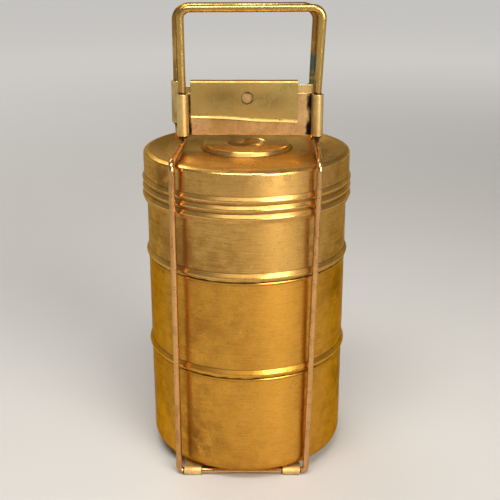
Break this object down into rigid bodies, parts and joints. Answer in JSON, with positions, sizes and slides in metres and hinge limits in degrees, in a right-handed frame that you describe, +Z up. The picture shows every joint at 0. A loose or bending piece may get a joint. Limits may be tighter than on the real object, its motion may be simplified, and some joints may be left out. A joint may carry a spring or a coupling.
{
  "type": "tiffin carrier",
  "caption": "Round stacked brass food containers under a ribbed lid, held between two hinged wire frames with a handle each and a hinged latch flap.",
  "frame": {"origin": "on the table, on the axis of the containers", "axes": "+Z up along the stack, -Y the front with the latch flap, X along the handles"},
  "size_m": [0.1324, 0.1324, 0.2925],
  "materials": {
    "container_brass": "satin brushed, aged, fine pits",
    "lid_brass": "satin brushed, polished ribs",
    "rod_brass": "satin, copper toned, scuffed",
    "handle_brass": "polished by use, worn patches",
    "bracket_brass": "mottled, heat tinted",
    "flap_brass": "mottled olive patina",
    "base_brass": "satin, pitted",
    "pin_brass": "satin",
    "solder": "dark oxidised solder"
  },
  "bodies": {
    "base": {"base_plate": "base_brass"},
    "front_frame": {"front_side_rod": "rod_brass", "front_bracket": "bracket_brass", "front_handle": "handle_brass", "front_solder": "solder"},
    "rear_frame": {"rear_side_rod": "rod_brass", "rear_bracket": "bracket_brass", "rear_handle": "handle_brass", "rear_solder": "solder", "latch_pin": "pin_brass"},
    "latch_flap": {"latch_flap": "flap_brass"},
    "bottom_container": {"bottom_container": "container_brass"},
    "middle_container": {"middle_container": "container_brass"},
    "top_container": {"top_container": "container_brass"},
    "lid": {"lid": "lid_brass"}
  },
  "joints": [
    {"name": "front_frame_hinge", "type": "hinge", "parent": "base", "child": "front_frame", "pos_m": [-0.003, -0.0542, 0.00265], "axis": [1, 0, 0], "range_deg": [0, 90]},
    {"name": "rear_frame_hinge", "type": "hinge", "parent": "base", "child": "rear_frame", "pos_m": [-0.003, 0.0542, 0.00265], "axis": [-1, 0, 0], "range_deg": [0, 90]},
    {"name": "latch_flap_hinge", "type": "hinge", "parent": "rear_frame", "child": "latch_flap", "pos_m": [-0.00145, 0.00076, 0.2444], "axis": [-1, 0, 0], "range_deg": [0, 180]},
    {"name": "bottom_container_lift", "type": "slide", "parent": "base", "child": "bottom_container", "axis": [0, 0, 1], "range_m": [0, 0.003]},
    {"name": "middle_container_lift", "type": "slide", "parent": "bottom_container", "child": "middle_container", "axis": [0, 0, 1], "range_m": [0, 0.006]},
    {"name": "top_container_lift", "type": "slide", "parent": "middle_container", "child": "top_container", "axis": [0, 0, 1], "range_m": [0, 0.006]},
    {"name": "lid_lift", "type": "slide", "parent": "top_container", "child": "lid", "axis": [0, 0, 1], "range_m": [0, 0.03]}
  ],
  "couplings": [
    {"joint": "rear_frame_hinge", "follows": "front_frame_hinge", "ratio": 1},
    {"joint": "bottom_container_lift", "follows": "front_frame_hinge", "m_per_rad": 0.0019098},
    {"joint": "middle_container_lift", "follows": "front_frame_hinge", "m_per_rad": 0.0038196},
    {"joint": "top_container_lift", "follows": "front_frame_hinge", "m_per_rad": 0.0038196},
    {"joint": "lid_lift", "follows": "front_frame_hinge", "m_per_rad": 0.019099}
  ]
}
